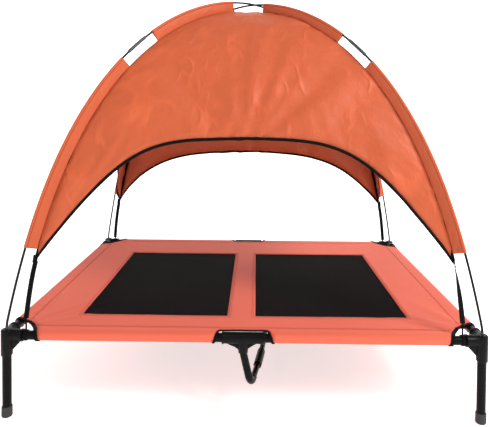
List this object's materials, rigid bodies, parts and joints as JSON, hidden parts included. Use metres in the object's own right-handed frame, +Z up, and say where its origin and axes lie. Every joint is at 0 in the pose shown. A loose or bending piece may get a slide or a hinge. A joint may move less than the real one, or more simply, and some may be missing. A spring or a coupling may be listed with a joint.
{
  "type": "raised dog bed with canopy frame",
  "caption": "Raised pet bed: tube frame with plastic corner fittings, cloth deck with mesh windows, and a lift-off sun canopy on crossed bent poles.",
  "frame": {"origin": "on the floor under the middle of the bed", "axes": "+Z up, X along the bed's long side, -Y is the front, where the taller arch is"},
  "size_m": [1.2204, 0.9144, 1.1302],
  "materials": {
    "canopy_fabric": "coated woven polyester, soft sheen",
    "deck_fabric": "heavy woven polyester, matt",
    "deck_mesh": "open knitted mesh, matt",
    "binding": "woven binding tape",
    "webbing": "ribbed webbing",
    "fitting_plastic": "moulded, fine grain",
    "coated_steel": "black powder coat",
    "foot_rubber": "matt",
    "pole_fibreglass": "smooth pulled rod",
    "pole_metal": "dark coated tube"
  },
  "bodies": {
    "frame": {"corner_fitting_front_left": "fitting_plastic", "corner_fitting_front_right": "fitting_plastic", "corner_fitting_rear_left": "fitting_plastic", "corner_fitting_rear_right": "fitting_plastic", "leg_front_left": "coated_steel", "leg_front_right": "coated_steel", "leg_rear_left": "coated_steel", "leg_rear_right": "coated_steel", "foot_cap_front_left": "foot_rubber", "foot_cap_front_right": "foot_rubber", "foot_cap_rear_left": "foot_rubber", "foot_cap_rear_right": "foot_rubber", "rail_front_left": "coated_steel", "rail_front_right": "coated_steel", "rail_rear_left": "coated_steel", "rail_rear_right": "coated_steel", "rail_side_left": "coated_steel", "rail_side_right": "coated_steel", "centre_tee_front": "fitting_plastic", "centre_tee_rear": "fitting_plastic", "brace_elbow_front": "coated_steel", "brace_elbow_rear": "coated_steel", "brace_tube": "coated_steel", "brace_sleeves": "fitting_plastic", "bed_sheet": "deck_fabric", "mesh_window_left": "deck_mesh", "mesh_window_right": "deck_mesh", "corner_binding_front_left": "binding", "corner_binding_front_right": "binding", "corner_binding_rear_left": "binding", "corner_binding_rear_right": "binding", "centre_binding_front": "binding", "centre_binding_rear": "binding", "rail_loops": "webbing"},
    "canopy": {"canopy_front": "canopy_fabric", "canopy_rear": "canopy_fabric", "canopy_left": "canopy_fabric", "canopy_right": "canopy_fabric", "edge_binding_front": "binding", "edge_binding_rear": "binding", "edge_binding_left": "binding", "edge_binding_right": "binding", "seam_tapes": "binding", "pole_a": "pole_fibreglass", "pole_b": "pole_fibreglass", "pole_tips": "pole_metal", "ferrules": "pole_metal", "lower_sleeve_front_left": "canopy_fabric", "lower_sleeve_front_right": "canopy_fabric", "lower_sleeve_rear_left": "canopy_fabric", "lower_sleeve_rear_right": "canopy_fabric", "upper_sleeve_front_left": "canopy_fabric", "upper_sleeve_front_right": "canopy_fabric", "upper_sleeve_rear_left": "canopy_fabric", "upper_sleeve_rear_right": "canopy_fabric", "strap_front_left": "webbing", "strap_front_right": "webbing", "strap_rear_left": "webbing", "strap_rear_right": "webbing"}
  },
  "joints": [
    {"name": "canopy_lift", "type": "slide", "parent": "frame", "child": "canopy", "axis": [0, 0, 1], "range_m": [0, 0.05]}
  ]
}
